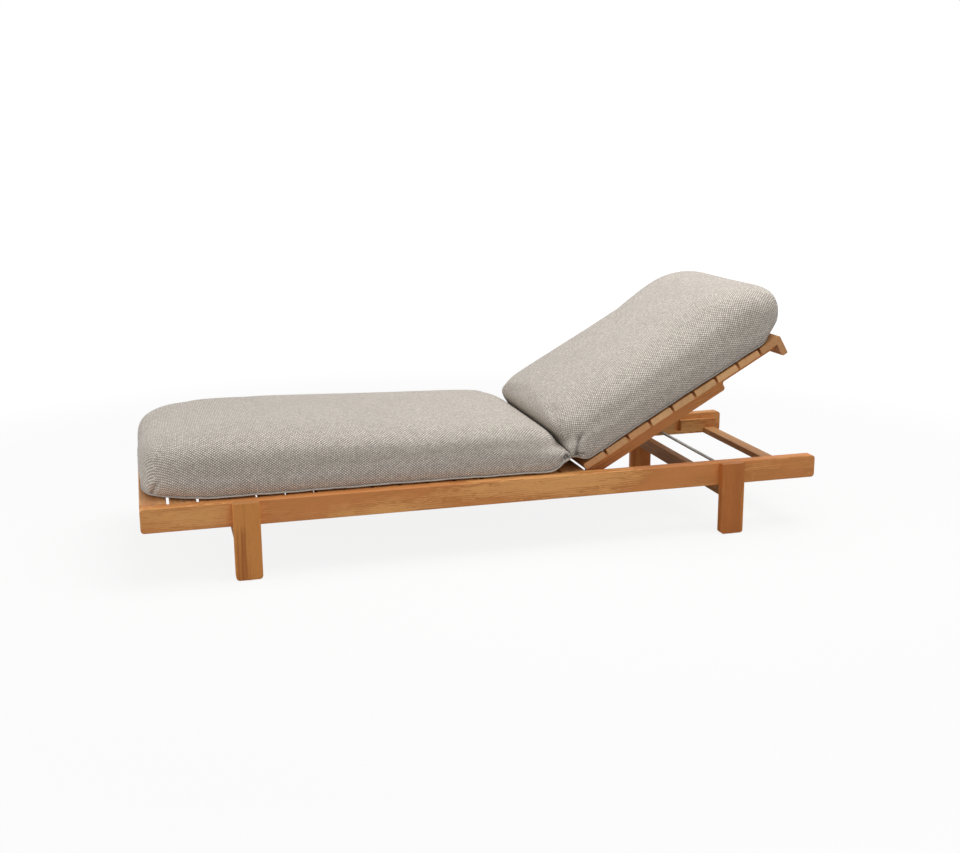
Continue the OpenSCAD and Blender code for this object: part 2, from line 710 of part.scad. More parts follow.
// Point of a pad at an angle round its outline, from the corner of its base at the foot side
function pad_point(a, ring, len, w, crown, flank, ends) = let (
    end = cos(a) > 0 ? ends[1] : ends[0],
    out_x = rounded(cos(a), end[0]),
    out_y = rounded(sin(a), end[0]),
    u = out_x * rounded(cos(ring[0]), end[1]),
    v = out_y * rounded(cos(ring[0]), crown[3]),
    top = crown[0] - crown[1] * (u + 1) / 2 + crown[2] * exp(-pow((u - swell_at) / swell_reach, 2)),
    side_h = flank[0] - (flank[0] - pad_flange) * sin(ring[1]),
    h = ring[2] * (side_h + (top - flank[0]) * rounded(sin(ring[0]), crown[3])),
    tucked = 1 - cos(ring[1]),
    rim = (1 - ring[2]) * pad_rim,
    corner = end[3] * eased((abs(out_x) - corner_from) / (1 - corner_from)),
    in_x = sign(out_x) * pow(abs(out_x), tuck_power) * (end[2] * tucked + rim),
    in_y = sign(out_y) * pow(out_y, 2) * ((flank[2] + corner) * tucked + rim),
    leaning = tan(ends[1][4]) * pow((1 + u) / 2, lean_power) + tan(ends[0][4]) * pow((1 - u) / 2, lean_power),
    x = (u + 1) * len / 2 - in_x - h * leaning,
    y = v * (w / 2 - flank[1] * (1 - u * u)) - in_y
) [len / 2 + (x - len / 2) * ring[3], y * ring[3], h];

module pad(len, w, crown, flank, ends) {
    rings = ring_profile();
    n = len(rings);
    sides = [for (ring = rings, i = [0:pad_sides - 1])
        pad_point(360 * (i + 0.5) / pad_sides, ring, len, w, crown, flank, ends)];
    base = [len / 2, 0, 0];
    top = pad_point(90, [90, 0, 1, 1], len, w, crown, flank, ends);
    faces = concat(
        [for (k = [0:n - 2], i = [0:pad_sides - 1]) let (j = (i + 1) % pad_sides)
            [k * pad_sides + i, (k + 1) * pad_sides + i, (k + 1) * pad_sides + j]],
        [for (k = [0:n - 2], i = [0:pad_sides - 1]) let (j = (i + 1) % pad_sides)
            [k * pad_sides + i, (k + 1) * pad_sides + j, k * pad_sides + j]],
        [for (i = [0:pad_sides - 1]) [i, (i + 1) % pad_sides, n * pad_sides]],
        [for (i = [0:pad_sides - 1]) let (j = (i + 1) % pad_sides)
            [(n - 1) * pad_sides + i, n * pad_sides + 1, (n - 1) * pad_sides + j]]
    );
    polyhedron(points = concat(sides, [base, top]), faces = faces);
}

module seat_pad() {
    translate([foot_x + seat_pad_inset, 0, pad_base])
        pad(seat_pad_len, seat_pad_w, seat_crown, seat_flank, [foot_end, seat_fold_end]);
}

module back_pad() {
    on_back() translate([back_pad_start, 0, back_pad_base])
        pad(back_pad_len, back_pad_w, back_crown, back_flank, [back_fold_end, head_end]);
}

color(wood) rail(-1);  // left_rail
color(wood) rail(1);  // right_rail
color(wood_dark) leg(foot_leg_x, foot_stretcher_x, -1);  // foot_leg_left
color(wood_dark) leg(foot_leg_x, foot_stretcher_x, 1);  // foot_leg_right
color(wood_dark) leg(head_leg_x, head_stretcher_x, -1);  // head_leg_left
color(wood_dark) leg(head_leg_x, head_stretcher_x, 1);  // head_leg_right
color(wood_dark) stretcher(foot_stretcher_x);  // foot_stretcher
color(wood_dark) stretcher(head_stretcher_x);  // head_stretcher
color(wood) batten(foot_x + batten_inset + batten_w / 2);  // foot_batten
color(wood) batten(head_x - batten_inset - batten_w / 2);  // head_batten
color(wood) cleat(-1);  // left_cleat
color(wood) cleat(1);  // right_cleat
for (i = [0:seat_slats - 1])
    color(wood_light) seat_slat(i);
color(steel) stay_rod();
color(steel) ratchet_plate(-1);  // left_ratchet_plate
color(steel) ratchet_plate(1);  // right_ratchet_plate
color(steel) hinge_bolt(-1);  // left_hinge_bolt
color(steel) hinge_bolt(1);  // right_hinge_bolt
color(steel) hinge_washers();
color(steel) leg_bolts();
color(black) leg_glides();
color(steel) seat_slat_screws();
color(steel) ratchet_screws();
color(cloth) seat_pad();
color(wood) back_bar(-1);  // left_back_bar
color(wood) back_bar(1);  // right_back_bar
for (i = [0:back_slats - 1])
    color(wood_light) back_slat(i);
color(wood_light) head_board();
color(wood_light) lip_board();
color(brass) hinge_bushes();
color(steel) back_slat_screws();
color(steel) pawl_pins();
color(cloth) back_pad();
color(steel) pawl(-1);  // left_pawl
color(steel) pawl(1);  // right_pawl
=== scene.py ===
"""Looks of a slatted wooden sun lounger with a seat cushion and a back cushion.

Metres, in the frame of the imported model: X runs from the foot to the head, the camera stands on
the -Y side, Z is up and the floor is Z = 0. The timber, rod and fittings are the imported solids
with finishes of their own; the two cushions and their flanges are surfaces made here.
"""
import math

import bpy
import numpy as np
from mathutils import Matrix, Vector


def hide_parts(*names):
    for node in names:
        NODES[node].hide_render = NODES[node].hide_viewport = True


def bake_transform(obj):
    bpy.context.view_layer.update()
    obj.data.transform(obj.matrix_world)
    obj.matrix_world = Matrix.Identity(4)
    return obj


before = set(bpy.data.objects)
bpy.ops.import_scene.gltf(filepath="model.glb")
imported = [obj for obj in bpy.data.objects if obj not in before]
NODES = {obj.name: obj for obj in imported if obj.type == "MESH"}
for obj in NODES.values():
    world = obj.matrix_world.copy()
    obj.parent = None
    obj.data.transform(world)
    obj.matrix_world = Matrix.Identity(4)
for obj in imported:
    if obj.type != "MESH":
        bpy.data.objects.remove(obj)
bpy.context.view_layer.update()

# the lounger's own measures
RECLINE = math.radians(29.5)          # slope of the raised back
HINGE_X, HINGE_Z = 0.247913, 0.184    # axis of the hinge bolts
SLAT_PITCH = 0.08176                  # from one slat to the next, in the seat and in the back
FIRST_SLAT_X = -0.98825               # middle of the slat at the foot
FIRST_BACK_SLAT = 0.047               # where the first back slat starts, along the back
SLAT_FACE = 0.2246                    # underside of the seat cushion, 0.6 mm above its slats
BACK_FACE = 0.0409                    # underside of the back cushion above the hinge axis, in the same way
SEAT_FOOT_X = -1.023                  # foot end of the seat cushion

# where the cushions press on each other, seen from the side: a chord with a bow towards the back
FOLD_LOW = np.array([0.229, 0.264])
FOLD_HIGH = np.array([0.088, 0.394])
FOLD_BOW = 0.022
FOLD_FROM, FOLD_TO, FOLD_POINTS = -0.6, 1.9, 400   # the line goes on past its chord, which is 0 to 1
FOLD_SHY = 0.0006                     # each cushion stops this far short of that line
LEAN_POWER = 5                        # how late along its length a cushion starts to lean along that line

# from these the grain of each kind of board is measured: about the middle of the rails, slats and bars,
# and a line near the legs, cleats and cross pieces
RAIL_Y, RAIL_Z = 0.335, 0.1885
LEG_X, LEG_Y = 0.7375, 0.300
CROSS_X, CROSS_Z = 0.745, 0.13
SEAT_SLAT_Z, BACK_SLAT_H, BAR_Y = 0.2146, 0.031, 0.278
CLEAT_EDGE = 0.3165                   # boards closer to the middle than this are cleats, not rails
BATTEN_LOW = 0.16                     # cross pieces are battens from this height up

# timber, in metres: how far the pith lies below the line from which a board's grain is measured, what
# chance adds to that, and the range in which chance puts it sideways; how far it can slant in a metre
# and drift; how wide a growth ring is, and what chance adds to that
PITH_LOW, PITH_LOW_MORE, PITH_SIDE = 0.016, 0.06, 0.05
PITH_SLANT, DRIFT_SIDE, DRIFT_LOW = 0.004, 0.045, 0.014
RING_WIDTH, RING_WIDTH_MORE = 0.0046, 0.0040
BOARD_SHIFT = 7.0                     # how far along the grain one board can start after another
STREAKS, FIBRES, PORES = 85.0, 620.0, 1300.0   # cells of their noise in a metre across the grain


# finishes
class Field:
    """One output socket of a finish. Python arithmetic on it adds the Math nodes."""

    def __init__(self, finish, socket):
        self.finish, self.socket = finish, socket

    def maths(self, operation, *terms):
        return self.finish.node("ShaderNodeMath", {"operation": operation}, dict(enumerate(terms)))

    def __add__(self, other):
        return self.maths("ADD", self, other)

    def __radd__(self, other):
        return self.maths("ADD", other, self)

    def __sub__(self, other):
        return self.maths("SUBTRACT", self, other)

    def __rsub__(self, other):
        return self.maths("SUBTRACT", other, self)

    def __mul__(self, other):
        return self.maths("MULTIPLY", self, other)

    def __rmul__(self, other):
        return self.maths("MULTIPLY", other, self)

    def __truediv__(self, other):
        return self.maths("DIVIDE", self, other)

    def __mod__(self, other):
        return self.maths("FLOORED_MODULO", self, other)

    def __gt__(self, other):
        return self.maths("GREATER_THAN", self, other)

    def __abs__(self):
        return self.maths("ABSOLUTE", self)

    def floor(self):
        return self.maths("FLOOR", self)

    def part(self):
        """What is left after the whole number, 0 to 1."""
        return self.maths("FRACT", self)

    def root(self):
        return self.maths("SQRT", self)

    def rise(self, low, high):
        """Eased step: 0 below low, 1 above high."""
        return self.finish.node("ShaderNodeMapRange", {"interpolation_type": "SMOOTHSTEP"},
                                {"Value": self, "From Min": low, "From Max": high})


class Finish:
    """A material under construction."""

    def __init__(self, name):
        self.material = bpy.data.materials.new(name)
        self.material.use_nodes = True
        self.tree = self.material.node_tree
        self.tree.nodes.clear()

    def node(self, kind, settings=None, inputs=None, take=0):
        """Adds a node of that type, sets its settings and then its sockets; returns the outputs in take."""
        node = self.tree.nodes.new(kind)
        for key, value in (settings or {}).items():
            setattr(node, key, value)
        for key, value in (inputs or {}).items():
            if isinstance(value, Field):
                self.tree.links.new(value.socket, node.inputs[key])
            else:
                node.inputs[key].default_value = value
        many = isinstance(take, tuple)
        fields = [Field(self, node.outputs[key]) for key in (take if many else (take,))]
        return fields if many else fields[0]

    def mix(self, share, first, second, blend="MIX"):
        """Colour between first and second; a colour is three numbers or a field."""
        first, second = [c if isinstance(c, Field) else (*c, 1) for c in (first, second)]
        return self.node("ShaderNodeMix", {"data_type": "RGBA", "blend_type": blend},
                         {0: share, 6: first, 7: second}, take=2)

    def point(self, x, y, z):
        return self.node("ShaderNodeCombineXYZ", None, {"X": x, "Y": y, "Z": z})

    def axes(self, vector):
        return self.node("ShaderNodeSeparateXYZ", None, {"Vector": vector}, take=("X", "Y", "Z"))

    def grey(self, value):
        return self.node("ShaderNodeCombineColor", None, {"Red": value, "Green": value, "Blue": value})

    def noise(self, vector, scale=1.0, detail=2.0, roughness=0.5):
        return self.node("ShaderNodeTexNoise", None,
                         {"Vector": vector, "Scale": scale, "Detail": detail, "Roughness": roughness})

    def chance(self, number):
        """Three random shares, 0 to 1, that stay the same for one number."""
        colour = self.node("ShaderNodeTexWhiteNoise", {"noise_dimensions": "1D"}, {"W": number}, take=1)
        return self.axes(colour)

    def surface(self, colour, roughness, height=None, depth=0.0003, strength=0.6, **plain):
        """Closes the finish with a Principled shader; plain holds its even values, by socket name."""
        links = {"Base Color": colour, "Roughness": roughness}
        if height is not None:
            links["Normal"] = self.node("ShaderNodeBump", None,
                                        {"Strength": strength, "Distance": depth, "Height": height})
        links.update({key.replace("_", " "): value for key, value in plain.items()})
        shader = self.node("ShaderNodeBsdfPrincipled", None, links)
        self.node("ShaderNodeOutputMaterial", None, {"Surface": shader}, take=())
        return self.material


def teak(name, lay, pale, deep, warm, end, seed, turned=False, contrast=1.0, figure=0.03):
    """Oiled hardwood. lay turns the place (x, y, z) into (along the grain, across, up, board number),
    with across and up measured from a line along the board. Growth rings are circles round a pith that
    lies below that line and drifts along it, so long boards show streaks and long arcs. figure is the
    width, in metres, of the band in which the grain sways, and contrast multiplies the dark streaks.
    """
    f = Finish(name)
    place, facing = f.node("ShaderNodeTexCoord", take=("Object", "Normal"))
    if turned:  # the back's boards, turned down to the flat position
        turn = {"Rotation": (0, RECLINE, 0)}
        hinge = Matrix.Rotation(RECLINE, 3, "Y") @ Vector((HINGE_X, 0, HINGE_Z))
        place = f.node("ShaderNodeMapping", {"vector_type": "POINT"},
                       {"Vector": place, "Location": -hinge, **turn})
        facing = f.node("ShaderNodeMapping", {"vector_type": "VECTOR"}, {"Vector": facing, **turn})
    along, across, up, number = lay(*f.axes(place))
    one, two, three = f.chance(number + seed)
    four, five, six = f.chance(number * 1.7 + seed + 40.5)  # a second draw, away from the first
    run = along + one * BOARD_SHIFT
    drift = f.noise(f.point(run * 1.5, across * 6.0, up * 6.0), detail=3.0)
    sway = (f.noise(f.point(run * 8.0, across * 20.0, up * 20.0), detail=2.5) - 0.5) * figure
    wide = (across + (two - 0.5) * PITH_SIDE + run * PITH_SLANT * (five - 0.5)
            + (drift - 0.5) * DRIFT_SIDE + sway)
    deep_in = up + PITH_LOW + three * PITH_LOW_MORE + (drift - 0.5) * DRIFT_LOW
    streak = f.noise(f.point(run * 1.9, (across + sway) * STREAKS + two * 9.0, (up + sway) * STREAKS),
                     detail=5.0, roughness=0.62)
    band = f.noise(f.point(run * 0.8, across * 17.0 + three * 5.0, up * 17.0), detail=2.0)
    from_pith = (wide * wide + deep_in * deep_in).root()
    ring = (from_pith / (RING_WIDTH + four * RING_WIDTH_MORE) + (band - 0.5) * 2.2).part()
    late = ring.rise(0.35, 0.97) * (1.0 - ring.rise(0.97, 1.0))
    fibre = f.noise(f.point(run * 16.0, across * FIBRES, up * FIBRES), detail=2.0)
    pore = f.noise(f.point(run * 38.0, across * PORES, up * PORES), detail=1.0).rise(0.60, 0.72)
    nx, ny, nz = f.axes(facing)
    end_share = abs(lay.grain(nx, ny, nz)).rise(0.70, 0.88)
    zone = f.noise(f.point(run * 2.6, across * 9.0, up * 9.0), detail=2.0)
    dark = ((streak - 0.5) * 3.0 + (band - 0.5) * 2.4 + (zone - 0.5) * 3.2 + late * 0.60 + 0.30) * contrast
    flank = f.mix(dark.rise(0.0, 1.0), pale, deep)
    flank = f.mix(one * 0.45 + zone.rise(0.40, 0.66) * 0.55, flank, warm)
    cut = f.mix(streak.rise(0.35, 0.70) * 0.45 + late * 0.35, end, tuple(0.66 * c for c in end))
    cut = f.mix(one * 0.75, cut, warm)
    body = f.mix(end_share, flank, cut)
    body = f.mix(1.0, body, f.grey(0.84 + six * 0.28 - pore * 0.18 + (fibre - 0.5) * 0.24), "MULTIPLY")
    height = streak * 0.35 + fibre * 0.40 - pore * 0.5 - late * 0.12
    return f.surface(body, 0.50 + streak * 0.16 + pore * 0.1, height, depth=0.00035, strength=0.55,
                     Specular_IOR_Level=0.4)


class Lay:
    """How the boards of one kind lie: a rule for (along, across, up, number) and the grain's axis."""

    def __init__(self, rule, grain):
        self.rule, self.axis = rule, grain

    def __call__(self, x, y, z):
        return self.rule(x, y, z)

    def grain(self, x, y, z):
        return (x, y, z)[self.axis]


def slat_lay(start, middle):
    """Slats side by side along X with their grain along Y, one to each pitch from start."""
    def rule(x, y, z):
        cell = (x - start) / SLAT_PITCH
        return y, (cell.part() - 0.5) * SLAT_PITCH, z - middle, cell.floor()

    return Lay(rule, 1)


RAIL_LAY = Lay(lambda x, y, z: (x, abs(y) - RAIL_Y, z - RAIL_Z, (y > 0.0) + (abs(y) > CLEAT_EDGE) * 2.0), 0)
LEG_LAY = Lay(lambda x, y, z: (z, abs(x) - LEG_X, abs(y) - LEG_Y, (x > 0.0) * 2.0 + (y > 0.0)), 2)
CROSS_LAY = Lay(lambda x, y, z: (y, abs(x) - CROSS_X, z - CROSS_Z, (x > 0.0) + (z > BATTEN_LOW) * 2.0), 1)
SEAT_LAY = slat_lay(FIRST_SLAT_X - SLAT_PITCH / 2, SEAT_SLAT_Z)
BACK_LAY = slat_lay(FIRST_BACK_SLAT, BACK_SLAT_H)
BAR_LAY = Lay(lambda x, y, z: (x, abs(y) - BAR_Y, z, (y > 0.0) * 1.0), 0)

RAIL_TONES = dict(pale=(0.83, 0.420, 0.138), deep=(0.49, 0.180, 0.044), warm=(0.68, 0.262, 0.074),
                  end=(0.72, 0.40, 0.16), contrast=1.35, figure=0.10)
LEG_TONES = dict(pale=(0.82, 0.340, 0.078), deep=(0.50, 0.155, 0.028), warm=(0.66, 0.215, 0.044),
                 end=(0.58, 0.28, 0.095), contrast=1.2, figure=0.012)
SLAT_TONES = dict(pale=(0.74, 0.400, 0.160), deep=(0.48, 0.210, 0.070), warm=(0.66, 0.300, 0.115),
                  end=(0.88, 0.51, 0.235))
CROSS_TONES = dict(pale=(0.66, 0.350, 0.130), deep=(0.40, 0.175, 0.056), warm=(0.52, 0.235, 0.078),
                   end=(0.68, 0.40, 0.17))
BAR_TONES = dict(pale=(0.78, 0.385, 0.124), deep=(0.47, 0.180, 0.048), warm=(0.61, 0.240, 0.070),
                 end=(0.72, 0.41, 0.17), contrast=1.1)


def woven(name, light, dark, cell_along, cell_across, depth=0.0007):
    """Weave on the piece's own map in metres: a chequer of light floats on dark yarns, each one a small
    pillow that fades towards the ends of its cell, with a tone of its own and a faint slub along the rows.
    Each cell's colour is also darkened towards its edges, painted shade between the yarns, and by the
    "crease" attribute, painted shade in the creases.
    """
    f = Finish(name)
    u, v, _ = f.axes(f.node("ShaderNodeUVMap", {"uv_map": "weave"}))
    u, v = u / cell_along, v / cell_across
    turn = (u.floor() + v.floor()) % 2.0
    side_u, side_v = u.part() - 0.5, v.part() - 0.5
    pillow = (1.0 - 4.0 * side_u * side_u) * (1.0 - 4.0 * side_v * side_v)
    tone = f.node("ShaderNodeTexWhiteNoise", {"noise_dimensions": "3D"},
                  {"Vector": f.point(u.floor(), v.floor(), 0.0)})
    slub = f.noise(f.point(u * 0.09, v * 0.9, 0.0), detail=2.0)
    broad = f.noise(f.node("ShaderNodeTexCoord", take="Object"), scale=9.0, detail=3.0)
    float_share = turn * (1.12 - 4.0 * side_u * side_u)
    yarn = f.mix(float_share * 0.82 + tone * 0.18, dark, light)
    # painted shade: the cloth's colour is darkened by up to 45 % where the "crease" attribute marks a
    # pressed crease
    painted_crease_shade = f.node("ShaderNodeAttribute", {"attribute_name": "crease"}, take="Fac")
    # the pillow term darkens each cell towards its edges, painted shade between the yarns; tone, slub and
    # broad are the yarns' own tone
    tone_and_painted_shade = 0.90 + pillow * 0.16 + (tone - 0.5) * 0.18 + (slub - 0.5) * 0.13 + (broad - 0.5) * 0.10
    cloth = f.mix(1.0, yarn, f.grey(tone_and_painted_shade * (1.0 - painted_crease_shade * 0.45)), "MULTIPLY")
    height = pillow.root() * 0.7 + turn * 0.25 + tone * 0.15
    return f.surface(cloth, 0.88 + tone * 0.1, height, depth=depth, strength=0.5,
                     Sheen_Weight=0.12, Sheen_Roughness=0.5, Specular_IOR_Level=0.25)


def metal(name, colour, polish, seed, coarse=60.0, brushed=(1.0, 1.0, 1.0)):
    """Plated or drawn metal: slightly blotchy colour and polish, and fine marks. coarse is about how
    many blotches there are in a metre, and the marks are long on an axis where brushed is far below 1.
    """
    f = Finish(name)
    x, y, z = f.axes(f.node("ShaderNodeTexCoord", take="Object"))
    blotch = f.noise(f.point(x * coarse + seed, y * coarse, z * coarse), detail=3.0)
    draw = f.noise(f.point(*[axis * 900.0 * share for axis, share in zip((x, y, z), brushed)]), detail=2.0)
    tint = f.mix(blotch.rise(0.3, 0.75), colour, tuple(0.72 * c for c in colour))
    return f.surface(tint, polish + (blotch - 0.5) * 0.22 + (draw - 0.5) * 0.12, draw * 0.6 + blotch * 0.4,
                     depth=0.00012, strength=0.35, Metallic=0.9)


def moulded(name, colour):
    """Moulded plastic: fine grain, slightly scuffed."""
    f = Finish(name)
    place = f.node("ShaderNodeTexCoord", take="Object")
    grain = f.noise(place, scale=1400.0, detail=2.0)
    scuff = f.noise(place, scale=55.0, detail=4.0)
    tint = f.mix(scuff.rise(0.45, 0.8) * 0.5, colour, tuple(min(1.0, 2.2 * c + 0.02) for c in colour))
    return f.surface(tint, 0.45 + scuff * 0.25, grain, depth=0.0001, strength=0.4)


def dress(finish, *names):
    """Puts one finish on every material slot of the named solids."""
    for name in names:
        mesh = NODES[name].data
        if not mesh.materials:
            mesh.materials.append(finish)
        for slot in range(len(mesh.materials)):
            mesh.materials[slot] = finish


dress(teak("rail_teak", RAIL_LAY, seed=3.0, **RAIL_TONES),
      "left_rail", "right_rail", "left_cleat", "right_cleat")
dress(teak("leg_teak", LEG_LAY, seed=11.0, **LEG_TONES),
      "foot_leg_left", "foot_leg_right", "head_leg_left", "head_leg_right")
dress(teak("cross_teak", CROSS_LAY, seed=19.0, **CROSS_TONES),
      "foot_stretcher", "head_stretcher", "foot_batten", "head_batten")
dress(teak("seat_slat_teak", SEAT_LAY, seed=27.0, **SLAT_TONES),
      *[f"seat_slat_{number}" for number in range(1, 17)])
dress(teak("back_slat_teak", BACK_LAY, seed=35.0, turned=True, **SLAT_TONES),
      *[f"back_slat_{number}" for number in range(1, 9)], "head_board", "lip_board")
dress(teak("back_bar_teak", BAR_LAY, seed=43.0, turned=True, **BAR_TONES),
      "left_back_bar", "right_back_bar")
dress(metal("drawn_steel", (0.52, 0.53, 0.50), 0.42, 2.0, brushed=(1.0, 0.02, 1.0)), "stay_rod")
dress(metal("screw_steel", (0.46, 0.45, 0.43), 0.38, 5.0),
      "seat_slat_screws", "back_slat_screws", "ratchet_screws", "left_hinge_bolt", "right_hinge_bolt",
      "hinge_washers", "leg_bolts", "pawl_pins")
dress(metal("zinc_plating", (0.60, 0.61, 0.62), 0.45, 8.0, coarse=110.0),
      "left_ratchet_plate", "right_ratchet_plate", "left_pawl", "right_pawl")
dress(metal("bronze_bushing", (0.52, 0.33, 0.15), 0.40, 11.0), "hinge_bushes")
dress(moulded("glide_plastic", (0.030, 0.028, 0.026)), "leg_glides")

CUSHION_CLOTH = woven("cushion_cloth", (0.885, 0.818, 0.742), (0.300, 0.262, 0.222), 0.0049, 0.0037)
FLANGE_CLOTH = woven("flange_cloth", (0.74, 0.71, 0.665), (0.46, 0.43, 0.39), 0.0022, 0.0022, depth=0.0004)


# cushions
def ease(t):
    """Smooth step of an array, 0 to 1."""
    t = np.clip(t, 0, 1)
    return t * t * (3 - 2 * t)


def bulge(c, fullness):
    """Superellipse power of a sine or cosine."""
    return np.abs(c) ** (2 / fullness)


def lay_flat(x, z):
    """From the world's X and Z to the back's own: along the back from the hinge axis, and above it."""
    dx, dz = x - HINGE_X, z - HINGE_Z
    return dx * math.cos(RECLINE) + dz * math.sin(RECLINE), dz * math.cos(RECLINE) - dx * math.sin(RECLINE)


def lift_up(x, z):
    """The way back from lay_flat."""
    return (HINGE_X + x * math.cos(RECLINE) - z * math.sin(RECLINE),
            HINGE_Z + x * math.sin(RECLINE) + z * math.cos(RECLINE))


def fold_line():
    """Points of the line where the cushions press on each other: the chord from FOLD_LOW to FOLD_HIGH,
    bowed by a parabola of height FOLD_BOW and carried on straight past both ends.
    """
    chord = FOLD_HIGH - FOLD_LOW
    side = np.array([chord[1], -chord[0]]) / np.hypot(*chord)
    t = np.linspace(FOLD_FROM, FOLD_TO, FOLD_POINTS)
    bow = 4 * FOLD_BOW * np.where(t < 0, t, np.where(t > 1, 1 - t, t * (1 - t)))
    return FOLD_LOW + np.outer(t, chord) + np.outer(bow, side)


FOLD = fold_line()
FOLD_FLAT = np.stack(lay_flat(FOLD[:, 0], FOLD[:, 1]), 1)
FOLD_FLAT = FOLD_FLAT[np.argsort(FOLD_FLAT[:, 1])]


def seat_limit(z):
    """X of the fold line at height Z."""
    return np.interp(z, FOLD[:, 1], FOLD[:, 0])


def back_limit(h):
    """Where the fold line is along the back, at height h above the hinge axis."""
    return np.interp(h, FOLD_FLAT[:, 1], FOLD_FLAT[:, 0])


# Measures of the two cushions, lying flat. Sizes in metres, powers those of superellipses, and places
# along a cushion from -1 at its foot to 1 at its head:
#   length, width, draw         outline, and how far its sides are drawn in at mid-length
#   corner, ear                 power of the outline (foot, head), and of the seam's corners at the fold
#   thick, drop                 height of the crown at the foot, and how much lower it is at the head
#   swell, swell_at             height and place of a swelling on the crown
#   full, full_end              power of the profile across, and along (foot, head)
#   middle                      half width from which the profile's length is measured
#   belly, seam                 heights of the widest line and of the seam
#   seam_fold, seam_from        height to which the seam rises at the fold, and the place it rises from
#   tuck, tuck_end, tuck_corner how far the seam lies inside the widest line: at the sides, at the free
#                               end, and more at that end's corners
#   fold                        the end with the fold: 1 is the head, -1 the foot
SEAT = dict(length=1.268, width=0.678, draw=0.012, corner=(5.7, 9), ear=200, thick=0.193, drop=0.038,
            swell=0.003, swell_at=-0.3, full=3.5, full_end=(4.8, 9), middle=0.42, belly=0.078, seam=0.007,
            seam_fold=0.046, seam_from=0.87, tuck=0.012, tuck_end=0.012, tuck_corner=0.036, fold=1)
BACK = dict(length=0.849, width=0.678, draw=0.012, corner=(9, 7.4), ear=200, thick=0.195, drop=-0.002,
            swell=0.023, swell_at=0.69, full=2.6, full_end=(9, 1.9), middle=0.36, belly=0.091, seam=0.007,
            seam_fold=0.046, seam_from=0.86, tuck=0.024, tuck_end=0.070, tuck_corner=0.090, fold=-1)

# where, along a cushion or across it, one rule passes into the next: from, and over how much
HEAD_FROM, HEAD_OVER = 0.3, 0.4       # the foot's corners into the head's, as a share of the side
EAR_FROM, EAR_OVER = 0.3, 0.5         # the outline's corners into the fold's
GATHER_FROM, GATHER_OVER = 0.7, 0.3   # the sides' tuck into the corners'
SWELL_OVER = 0.35                     # half length of the swelling on the crown
END_POWER, RISE_POWER = 6, 40         # how close to an end its tuck, and to the seam its rise, begins
PROFILE_POINTS = 300                  # on each of the profile's two quarters
RIM_RING = 0.999                      # from this ring on a point is on the rim
SEAT_GRID, BACK_GRID = (150, 96), (110, 96)   # cells of cloth along and across


